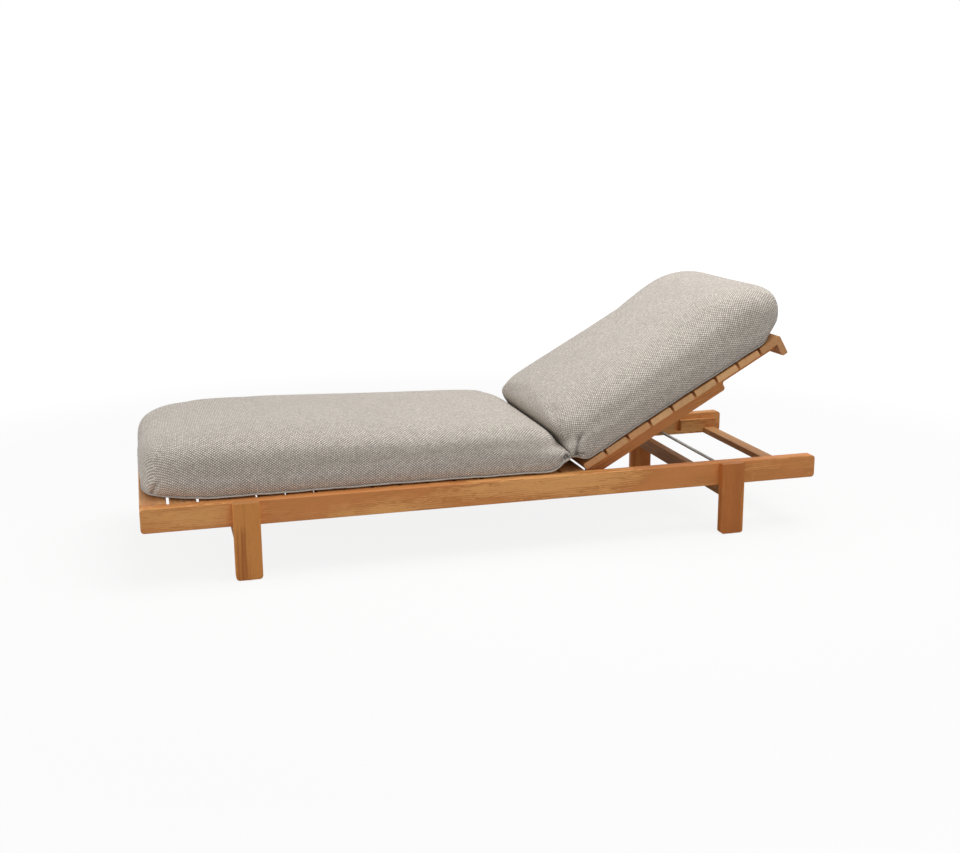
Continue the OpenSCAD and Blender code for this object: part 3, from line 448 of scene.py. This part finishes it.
def cushion_sheets(rows, cols, c):
    """Upper and lower sheet of a cushion, lying flat with its foot at x = 0 and its underside at z = 0,
    a field that is above 0 where the outline looks more to an end than to a side, and the weave's map in
    metres: for the ends, for the sides and for the lower sheet.

    A square grid (a, b) in -1..1 is the cloth. Its rings, max(|a|, |b|), are equal steps along the
    profile from the crown over the side to the seam; its directions are the outline, a superellipse
    with its own corner at each end. The profile is a superellipse from crown to belly, then a quarter
    wave that tucks in under the belly down to the seam. The lower sheet is the seam's outline drawn in
    to the middle, on the slats, and lifting off them as the seam does towards the fold.
    """
    a, b = np.meshgrid(np.linspace(-1, 1, rows + 1), np.linspace(-1, 1, cols + 1), indexing="ij")
    ring = np.maximum(np.abs(a), np.abs(b))
    safe = np.maximum(ring, 1e-9)
    head = ease(((a / safe + 1) / 2 - HEAD_FROM) / HEAD_OVER)
    # equal steps of length along the profile, from the crown (0) over the belly (1) to the seam (2)
    q = np.linspace(0, math.pi / 2, PROFILE_POINTS)
    out = np.concatenate([c["middle"] * bulge(np.sin(q), c["full"]),
                          c["middle"] - c["tuck"] * (1 - np.cos(q[1:]))])
    high = np.concatenate([c["belly"] + (c["thick"] - c["belly"]) * bulge(np.cos(q), c["full"]),
                           c["belly"] - (c["belly"] - c["seam"]) * np.sin(q[1:])])
    length = np.concatenate([[0], np.cumsum(np.hypot(np.diff(out), np.diff(high)))])
    place = np.interp(ring, length / length[-1], np.concatenate([q, math.pi / 2 + q[1:]]) / (math.pi / 2))
    upper, lower = np.minimum(place, 1) * math.pi / 2, np.clip(place - 1, 0, 1) * math.pi / 2
    e = c["corner"][0] + (c["corner"][1] - c["corner"][0]) * head
    e = e + (c["ear"] - e) * ease(place - 1) * ease((c["fold"] * a / safe - EAR_FROM) / EAR_OVER)
    norm = np.maximum((np.abs(a) ** e + np.abs(b) ** e) ** (1 / e), 1e-9)
    ux, uy = a / norm, b / norm
    full_end = c["full_end"][0] + (c["full_end"][1] - c["full_end"][0]) * head
    u, v = ux * bulge(np.sin(upper), full_end), uy * bulge(np.sin(upper), c["full"])
    fold = c["fold"] * ux
    free = (fold <= 0).astype(float)

    def seam_rise(share):
        return (c["seam_fold"] - c["seam"]) * ease((share - c["seam_from"]) / (1 - c["seam_from"]))

    seam = c["seam"] + seam_rise(fold)
    swelling = c["swell"] * np.exp(-((u - c["swell_at"]) / SWELL_OVER) ** 2)
    crown = c["thick"] - c["drop"] * (u + 1) / 2 + swelling
    z = c["belly"] + (crown - c["belly"]) * bulge(np.cos(upper), c["full"])
    z = np.where(lower > 0, c["belly"] - (c["belly"] - seam) * np.sin(lower), z)
    # the place before the tuck, and how far the tuck draws it in
    x, y = (u + 1) * c["length"] / 2, v * (c["width"] / 2 - c["draw"] * (1 - u ** 2))
    tuck_x = np.abs(ux) ** END_POWER * c["tuck_end"] * free * (1 - np.cos(lower))
    gather = c["tuck_corner"] * free * ease((np.abs(ux) - GATHER_FROM) / GATHER_OVER)
    tuck_y = uy ** 2 * (c["tuck"] + gather) * (1 - np.cos(lower))
    top = np.stack([x - np.sign(ux) * tuck_x, y - np.sign(uy) * tuck_y, z], -1)
    # the cloth unrolled: plan place, moved outwards by what the profile is longer than its plan, along X
    # on the two ends and along Y on the two sides; facing is above 0 where the outline looks more to an end
    facing = np.abs(ux) ** (e - 1) / c["length"] - np.abs(uy) ** (e - 1) / c["width"]
    drawn = np.interp(np.minimum(ring, length[q.size - 1] / length[-1]), length / length[-1], length - out)
    drawn = drawn + np.sqrt(tuck_x ** 2 + tuck_y ** 2 + ((c["belly"] - seam) * np.sin(lower)) ** 2)
    end_weave = np.stack([x + np.sign(a) * drawn, y], -1)
    side_weave = np.stack([x, y + np.sign(b) * drawn], -1)
    # the seam point straight outwards from each grid point, read off the rim of the upper sheet
    row, col = (a / safe + 1) / 2 * rows, (b / safe + 1) / 2 * cols
    i, j = np.clip(row.astype(int), 0, rows - 1), np.clip(col.astype(int), 0, cols - 1)
    wi, wj = (row - i)[..., None], (col - j)[..., None]
    rim = (top[i, j] * (1 - wi) * (1 - wj) + top[i + 1, j] * wi * (1 - wj)
           + top[i, j + 1] * (1 - wi) * wj + top[i + 1, j + 1] * wi * wj)
    low_x = c["length"] / 2 + (rim[..., 0] - c["length"] / 2) * ring
    curl = seam_rise(c["fold"] * (2 * low_x / c["length"] - 1))
    lift = np.minimum(np.maximum(curl, rim[..., 2] * ring ** RISE_POWER), rim[..., 2])
    low_z = np.where(ring > RIM_RING, rim[..., 2], lift)
    bottom = np.stack([low_x, rim[..., 1] * ring, low_z], -1)
    return top, bottom, facing, end_weave, side_weave, bottom[..., :2]


def place_seat(sheet):
    """Lays a sheet of the seat cushion on the slats; its head end leans along the fold line."""
    x, y, z = sheet[..., 0] + SEAT_FOOT_X, sheet[..., 1], sheet[..., 2] + SLAT_FACE
    share = np.clip(sheet[..., 0] / SEAT["length"], 0, 1)
    x = x + (seat_limit(z) - FOLD_SHY - (SEAT["length"] + SEAT_FOOT_X)) * share ** LEAN_POWER
    return np.stack([x, y, z], -1)


def place_back(sheet):
    """Lays a sheet of the back cushion on the raised back; its foot end leans along the fold line."""
    x, y, h = sheet[..., 0], sheet[..., 1], sheet[..., 2] + BACK_FACE
    share = np.clip(1 - x / BACK["length"], 0, 1)
    x = x + (back_limit(h) + FOLD_SHY) * share ** LEAN_POWER
    x, z = lift_up(x, h)
    return np.stack([x, y, z], -1)


def new_piece(name, points, quads, weave, finish):
    """A mesh piece at the origin from arrays; weave is the map in metres for each face corner."""
    mesh = bpy.data.meshes.new(name)
    mesh.from_pydata(points.reshape(-1, 3).tolist(), [], quads.tolist())
    mesh.polygons.foreach_set("use_smooth", np.ones(len(quads), bool))
    mesh.uv_layers.new(name="weave").data.foreach_set("uv", weave.reshape(-1).astype(np.float32))
    mesh.materials.append(finish)
    piece = bpy.data.objects.new(name, mesh)
    bpy.context.scene.collection.objects.link(piece)
    return piece


def read_points(mesh):
    """Places of a mesh's points, one row each."""
    places = np.empty(len(mesh.vertices) * 3)
    mesh.vertices.foreach_get("co", places)
    return places.reshape(-1, 3)


def write_points(mesh, points):
    """Moves a mesh's points to these places."""
    mesh.vertices.foreach_set("co", np.ascontiguousarray(points, np.float32).reshape(-1))
    mesh.update()


def cushion_piece(name, top, bottom, facing, end_weave, side_weave, low_weave):
    """Closed cushion from its two sheets, which share the points of the seam. The weave is mitred where
    the outline turns from side to end. Returns the piece, where the lower sheet's own points start, and
    the points of the seam in order.
    """
    rows, cols = top.shape[0] - 1, top.shape[1] - 1
    index = np.arange((rows + 1) * (cols + 1)).reshape(rows + 1, cols + 1)
    inner = np.zeros_like(index, bool)
    inner[1:-1, 1:-1] = True
    under = index.copy()
    under[inner] = index.size + np.arange(inner.sum())

    def quads(grid):
        return np.stack([grid[:-1, :-1], grid[1:, :-1], grid[1:, 1:], grid[:-1, 1:]], -1).reshape(-1, 4)

    cells = quads(index)
    at_end = (facing.reshape(-1)[cells].mean(axis=1) > 0)[:, None, None]
    end_map, side_map, low_map = [weave.reshape(-1, 2)[cells]
                                  for weave in (end_weave, side_weave, low_weave)]
    upper_map = np.where(at_end, end_map, side_map)
    points = np.concatenate([top.reshape(-1, 3), bottom[inner]])
    faces = np.concatenate([cells, quads(under)[:, ::-1]])
    piece = new_piece(name, points, faces, np.concatenate([upper_map, low_map[:, ::-1]]), CUSHION_CLOTH)
    rim = np.concatenate([index[:-1, 0], index[-1, :-1], index[:0:-1, -1], index[0, :0:-1]])
    return piece, index.size, rim


SWELL_FRAMES, HOLD_LEVELS = 20, 10    # frames of the cloth simulation, and steps of how firmly it is held


def swell(piece, hold, pressure=4.0, grow=0.002, limit=0.0035):
    """Cloth under air pressure, run for SWELL_FRAMES and applied. hold is 1 for a point that stays fixed
    and 0 for a free one, grow is how much the cloth grows, as a share, and no point ends further than
    limit from where it was.
    """
    start = read_points(piece.data)
    group = piece.vertex_groups.new(name="hold")
    level = np.round(hold * HOLD_LEVELS).astype(int)
    for step in range(1, HOLD_LEVELS + 1):
        group.add(np.flatnonzero(level == step).tolist(), step / HOLD_LEVELS, "REPLACE")
    cloth = piece.modifiers.new("swell", "CLOTH")
    rule = cloth.settings
    rule.quality, rule.mass, rule.air_damping = 5, 0.25, 4.0
    rule.tension_stiffness, rule.compression_stiffness = 25, 25
    rule.shear_stiffness, rule.bending_stiffness = 12, 3.0
    rule.use_pressure, rule.uniform_pressure_force = True, pressure
    rule.effector_weights.gravity = 0
    rule.vertex_group_mass = "hold"
    rule.shrink_min = -grow
    cloth.point_cache.frame_start, cloth.point_cache.frame_end = 1, SWELL_FRAMES
    for number in range(1, SWELL_FRAMES + 1):
        bpy.context.scene.frame_set(number)
    settled = piece.evaluated_get(bpy.context.evaluated_depsgraph_get())
    move = read_points(settled.data) - start
    size = np.linalg.norm(move, axis=1, keepdims=True)
    piece.modifiers.clear()
    piece.vertex_groups.clear()
    bpy.context.scene.frame_set(1)
    write_points(piece.data, start + move * np.minimum(1, limit / np.maximum(size, 1e-9)))


def subdivide(piece):
    """One subdivision, applied."""
    smoother = piece.modifiers.new("finer", "SUBSURF")
    smoother.levels = smoother.render_levels = 1
    mesh = bpy.data.meshes.new_from_object(piece.evaluated_get(bpy.context.evaluated_depsgraph_get()))
    piece.modifiers.clear()
    old, piece.data = piece.data, mesh
    mesh.name = old.name + "_cloth"
    bpy.data.meshes.remove(old)


SIDE_WEIGHT = 0.3      # how much a distance along Y counts in a crease, whose own Y is only rough
CREASE_LIP = 0.25      # how high the cloth stands up beside a crease, as a share of its depth
CREASE_FULL = 0.012    # a crease this deep holds all the shade


def pleat(piece, line, depth, width, fade=0.5):
    """Crease pressed into the cloth along a line of points, on both sides of the lounger: a point at
    distance d from the line sinks against its normal by depth times exp(-(d / width)^2), and the cloth
    stands up beside it, highest at d = 2 widths, by CREASE_LIP times the same curve. The crease fades
    out over the last share of its line. The attribute "crease" keeps how deep a point has sunk, for the
    painted shade that darkens the cloth's colour there.
    """
    points = read_points(piece.data)
    normals = np.empty(len(points) * 3)
    piece.data.vertex_normals.foreach_get("vector", normals)
    normals = normals.reshape(-1, 3)
    if "crease" not in piece.data.attributes:
        piece.data.attributes.new("crease", "FLOAT", "POINT")
    painted_crease_shade = np.empty(len(points), np.float32)
    piece.data.attributes["crease"].data.foreach_get("value", painted_crease_shade)
    line = np.array(line) * [1, SIDE_WEIGHT, 1]
    step = np.linalg.norm(np.diff(line, axis=0), axis=1)
    run = np.concatenate([[0], np.cumsum(step)]) / step.sum()
    for at in (points * [1, SIDE_WEIGHT, 1], points * [1, -SIDE_WEIGHT, 1]):
        near, share = np.full(len(at), 1e9), np.zeros(len(at))
        for start, end, first, last in zip(line[:-1], line[1:], run[:-1], run[1:]):
            t = np.clip((at - start) @ (end - start) / ((end - start) @ (end - start)), 0, 1)
            distance = np.linalg.norm(at - start - t[:, None] * (end - start), axis=1)
            share = np.where(distance < near, first + t * (last - first), share)
            near = np.minimum(near, distance)
        sink = np.exp(-(near / width) ** 2) - CREASE_LIP * np.exp(-((near - 2 * width) / width) ** 2)
        sink = sink * ease((1 - share) / fade)
        points = points - normals * (depth * sink)[:, None]
        # painted shade for the crease, by how deep it is
        painted_crease_shade = np.maximum(painted_crease_shade, sink * min(1.0, depth / CREASE_FULL))
    piece.data.attributes["crease"].data.foreach_set("value", painted_crease_shade.astype(np.float32))
    write_points(piece.data, points)


FLANGE_STEP, FLANGE_POINTS = 0.006, 12   # along the seam, and round the flange's section
FLANGE_OFF = 0.0028                      # how far outside the seam the section's middle lies
FLANGE_PASSES = 3                        # how often the seam is smoothed before the flange follows it
FLANGE_WAVES = ((0.0006, 0.031, 0.0), (0.0004, 0.0127, 1.0))   # height, length over 2 pi, start


def seam_flange(name, path, up, limit, out=0.0052, thick=0.0024, press=0.985):
    """Flat flange sewn along the seam: an ellipse carried along the closed path, its long half axis, out,
    pointing away from the cushion, its short one, thick, up. Two sines along the seam move it up and
    down by up to 1 mm. limit keeps it on its own side of the fold: press is the share of the way back
    to that side that a point goes, a little under 1 so that the pressed ellipse keeps a thickness.
    """
    step = np.linalg.norm(np.roll(path, -1, 0) - path, axis=1)
    run = np.concatenate([[0], np.cumsum(step)])
    count = int(run[-1] / FLANGE_STEP)
    at = np.linspace(0, run[-1], count, endpoint=False)
    closed = np.concatenate([path, path[:1]])
    line = np.stack([np.interp(at, run, closed[:, k]) for k in range(3)], 1)
    for _ in range(FLANGE_PASSES):
        line = (np.roll(line, 1, 0) + 2 * line + np.roll(line, -1, 0)) / 4
    along = np.roll(line, -1, 0) - np.roll(line, 1, 0)
    along /= np.linalg.norm(along, axis=1, keepdims=True)
    side = np.cross(along, up)
    side /= np.linalg.norm(side, axis=1, keepdims=True)
    high = np.cross(side, along)
    turn = np.linspace(0, 2 * math.pi, FLANGE_POINTS, endpoint=False)
    wave = sum(height * np.sin(at / length + start) for height, length, start in FLANGE_WAVES)
    ring = (line[:, None] + side[:, None] * (FLANGE_OFF + out * np.cos(turn)[None, :, None])
            + high[:, None] * (wave[:, None, None] + thick * np.sin(turn)[None, :, None]))
    ring = ring + (limit(ring) - ring) * press
    index = np.arange(count * FLANGE_POINTS).reshape(count, FLANGE_POINTS)
    nxt, over = np.roll(index, -1, 0), np.roll(index, -1, 1)
    quads = np.stack([index, nxt, np.roll(nxt, -1, 1), over], -1).reshape(-1, 4)
    s, t = np.broadcast_arrays(at[:, None], (turn * out)[None, :])
    s_next, t_next = s + run[-1] / count, t + 2 * math.pi * out / FLANGE_POINTS
    weave = np.stack([np.stack([s, t], -1), np.stack([s_next, t], -1), np.stack([s_next, t_next], -1),
                      np.stack([s, t_next], -1)], 2)
    return new_piece(name, ring, quads, weave, FLANGE_CLOTH)


def keep_seat_side(points):
    """Draws points back to the seat's side of the fold line."""
    points = points.copy()
    points[..., 0] = np.minimum(points[..., 0], seat_limit(points[..., 2]) - FOLD_SHY)
    return points


def keep_back_side(points):
    """Draws points back to the back's side of the fold line."""
    x, h = lay_flat(points[..., 0], points[..., 2])
    x = np.maximum(x, back_limit(h) + FOLD_SHY)
    x, z = lift_up(x, h)
    return np.stack([x, points[..., 1], z], -1)


RIM_HELD, RIM_OVER = 0.97, 0.10      # cloth is held on a ring above the first, and free the second below
FOLD_HELD, FOLD_OVER = 0.010, 0.05   # held up to the first from the fold, and free the second after


def finish_cushion(name, sheets, place, keep, up, near_fold, creases):
    """The whole cushion: its sheets laid in place, inflated, kept on their side of the fold, subdivided
    and creased, and the flange along its seam. near_fold measures how far points are from the fold.
    """
    top, bottom = [place(sheet) for sheet in sheets[:2]]
    piece, under_start, rim = cushion_piece(name, top, bottom, *sheets[2:])
    points = read_points(piece.data)
    hold = np.ones(len(points))
    rows, cols = top.shape[:2]
    a, b = np.meshgrid(np.linspace(-1, 1, rows), np.linspace(-1, 1, cols), indexing="ij")
    free = ease((RIM_HELD - np.maximum(np.abs(a), np.abs(b))) / RIM_OVER)
    free = free * ease((near_fold(top) - FOLD_HELD) / FOLD_OVER)
    hold[:under_start] = 1 - free.reshape(-1)
    swell(piece, hold)
    write_points(piece.data, keep(read_points(piece.data)))
    seam = read_points(piece.data)[rim]
    subdivide(piece)
    for line, depth, width in creases:
        pleat(piece, line, depth, width)
    write_points(piece.data, keep(read_points(piece.data)))
    flange = seam_flange(name.replace("cushion", "flange"), seam, up, keep)
    return piece, flange


# creases where the corners are gathered: (points on the near side, depth, width)
SEAT_CREASES = [
    ([(0.2110, -0.3320, 0.2725), (0.2070, -0.3311, 0.2800), (0.2050, -0.3236, 0.2885)], 0.018, 0.0060),
    ([(0.2110, -0.3328, 0.2745), (0.1945, -0.3327, 0.2680), (0.1793, -0.3316, 0.2560)], 0.007, 0.0050),
    ([(-0.9866, -0.2462, 0.2375), (-0.9823, -0.2660, 0.2556), (-0.9728, -0.2805, 0.2732),
      (-0.9613, -0.2909, 0.2880)], 0.0045, 0.0060)]
BACK_CREASES = [
    ([(0.2406, -0.3221, 0.2790), (0.2420, -0.3221, 0.2967), (0.2459, -0.3222, 0.3179),
      (0.2531, -0.3255, 0.3320), (0.2631, -0.3282, 0.3411), (0.2780, -0.3300, 0.3450)], 0.012, 0.0055),
    ([(0.2400, -0.3221, 0.2790), (0.2536, -0.3258, 0.2794), (0.2658, -0.3271, 0.2782),
      (0.2800, -0.3245, 0.2730)], 0.008, 0.0050)]


def from_seat_side(points):
    """How far points of the seat cushion are from the fold line, along X."""
    return seat_limit(points[..., 2]) - points[..., 0]


def from_back_side(points):
    """How far points of the back cushion are from the fold line, along the back."""
    along, height = lay_flat(points[..., 0], points[..., 2])
    return along - back_limit(height)


seat_cushion, seat_flange = finish_cushion(
    "seat_cushion", cushion_sheets(*SEAT_GRID, SEAT), place_seat, keep_seat_side, np.array([0, 0, 1.0]),
    from_seat_side, SEAT_CREASES)
back_cushion, back_flange = finish_cushion(
    "back_cushion", cushion_sheets(*BACK_GRID, BACK), place_back, keep_back_side,
    np.array([-math.sin(RECLINE), 0, math.cos(RECLINE)]), from_back_side, BACK_CREASES)

# the new pieces' places are written into their meshes, and the imported pads are hidden
for piece in (seat_cushion, seat_flange, back_cushion, back_flange):
    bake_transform(piece)
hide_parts("seat_pad")
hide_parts("back_pad")


# floor, light and camera, in metres, degrees, watts and, for the lens, millimetres
FLOOR_HALF, FLOOR_LINES = 12, 9       # half its side, and the lines of its grid each way
FLOOR_GREY, FLOOR_GLOW = 0.56, 1.09   # its own tone, and the light that it gives camera rays
GLOW_NEAR, GLOW_MORE = 0.80, 0.20     # share of that light near the lounger, and what comes to it far off
FAR_FROM, FAR_TO = 1.6, 4.2           # from the lounger's middle, where the floor turns white
SKY_TINT, SKY_LIGHT = (1.0, 0.99, 0.98, 1), 0.29
LAMPS = (("overhead", (0.75, -0.2, 3.35), (0, 0, 0.2), 3.1, 97.0),       # name, place, aim, side, power
         ("front", (0.9, -4.2, 1.5), (0, 0, 0.25), 2.4, 16.0),
         ("foot_side", (-3.6, -0.4, 0.9), (-0.9, 0, 0.3), 1.8, 32.0))
CAMERA_PLACE = (-0.9841, -3.7394, 1.2055)
CAMERA_YAW, CAMERA_TILT, CAMERA_ROLL = 15.2174, 13.0751, 0.4541
CAMERA_LENS, CAMERA_SENSOR = 46.851, 36.0


def studio_floor():
    """Pale floor, a flat grid. Camera rays see it nearly white with the shadow kept, and white far off."""
    side = np.linspace(-FLOOR_HALF, FLOOR_HALF, FLOOR_LINES)
    x, y = np.meshgrid(side, side, indexing="ij")
    points = np.stack([x, y, np.zeros_like(x)], -1)
    index = np.arange(FLOOR_LINES ** 2).reshape(FLOOR_LINES, FLOOR_LINES)
    quads = np.stack([index[:-1, :-1], index[1:, :-1], index[1:, 1:], index[:-1, 1:]], -1).reshape(-1, 4)
    f = Finish("studio_floor")
    see = f.node("ShaderNodeLightPath", take="Is Camera Ray")
    dull = f.node("ShaderNodeBsdfDiffuse", None, {"Color": (FLOOR_GREY, FLOOR_GREY, FLOOR_GREY, 1)})
    glow = f.node("ShaderNodeEmission", None, {"Color": (1, 1, 1, 1), "Strength": FLOOR_GLOW})
    x_at, y_at, _ = f.axes(f.node("ShaderNodeTexCoord", take="Object"))
    far = (x_at * x_at + y_at * y_at).root().rise(FAR_FROM, FAR_TO)
    both = f.node("ShaderNodeMixShader", None, {0: see * (GLOW_NEAR + far * GLOW_MORE), 1: dull, 2: glow})
    f.node("ShaderNodeOutputMaterial", None, {"Surface": both}, take=())
    floor = new_piece("studio_floor", points, quads, np.zeros((len(quads) * 4, 2)), f.material)


def studio_light():
    """White surroundings for camera rays, reflections and rays that pass through, soft light from all
    around for the rest, and the lamps.
    """
    world = bpy.data.worlds.new("studio")
    bpy.context.scene.world = world
    world.use_nodes = True
    tree = world.node_tree
    tree.nodes.clear()
    path = tree.nodes.new("ShaderNodeLightPath")
    seen = tree.nodes.new("ShaderNodeMath")
    seen.operation = "MAXIMUM"
    either = tree.nodes.new("ShaderNodeMath")
    either.operation = "MAXIMUM"
    bright, soft = [tree.nodes.new("ShaderNodeBackground") for _ in range(2)]
    mix, out = tree.nodes.new("ShaderNodeMixShader"), tree.nodes.new("ShaderNodeOutputWorld")
    bright.inputs[0].default_value = (1, 1, 1, 1)
    bright.inputs[1].default_value = 1.0
    soft.inputs[0].default_value = SKY_TINT
    soft.inputs[1].default_value = SKY_LIGHT
    for source, target in ((path.outputs["Is Camera Ray"], seen.inputs[0]),
                           (path.outputs["Is Glossy Ray"], seen.inputs[1]),
                           (seen.outputs[0], either.inputs[0]),
                           (path.outputs["Is Transmission Ray"], either.inputs[1]),
                           (either.outputs[0], mix.inputs[0]),
                           (soft.outputs[0], mix.inputs[1]),
                           (bright.outputs[0], mix.inputs[2]),
                           (mix.outputs[0], out.inputs[0])):
        tree.links.new(source, target)
    for name, place, aim, size, power in LAMPS:
        lamp = bpy.data.lights.new(name, "AREA")
        lamp.shape, lamp.size, lamp.energy = "SQUARE", size, power
        holder = bpy.data.objects.new(name, lamp)
        holder.location = place
        holder.rotation_euler = (Vector(aim) - Vector(place)).to_track_quat("-Z", "Y").to_euler()
        bpy.context.scene.collection.objects.link(holder)


def studio_camera():
    """Camera solved from the photograph: it looks along +Y, turned towards +X, tilted down and rolled."""
    yaw, tilt, roll = [math.radians(angle) for angle in (CAMERA_YAW, CAMERA_TILT, CAMERA_ROLL)]
    ahead = Vector((math.sin(yaw) * math.cos(tilt), math.cos(yaw) * math.cos(tilt), -math.sin(tilt)))
    right = Vector((math.cos(yaw), -math.sin(yaw), 0))
    down = ahead.cross(right)
    level = math.cos(roll) * right + math.sin(roll) * down
    plumb = math.cos(roll) * down - math.sin(roll) * right
    lens = bpy.data.cameras.new("view")
    lens.lens, lens.sensor_width, lens.sensor_fit = CAMERA_LENS, CAMERA_SENSOR, "HORIZONTAL"
    camera = bpy.data.objects.new("view", lens)
    turn = Matrix((level, -plumb, -ahead)).transposed().to_4x4()
    camera.matrix_world = Matrix.Translation(CAMERA_PLACE) @ turn
    bpy.context.scene.collection.objects.link(camera)
    bpy.context.scene.camera = camera


studio_floor()
studio_light()
studio_camera()
bpy.context.scene.view_settings.view_transform = "Standard"
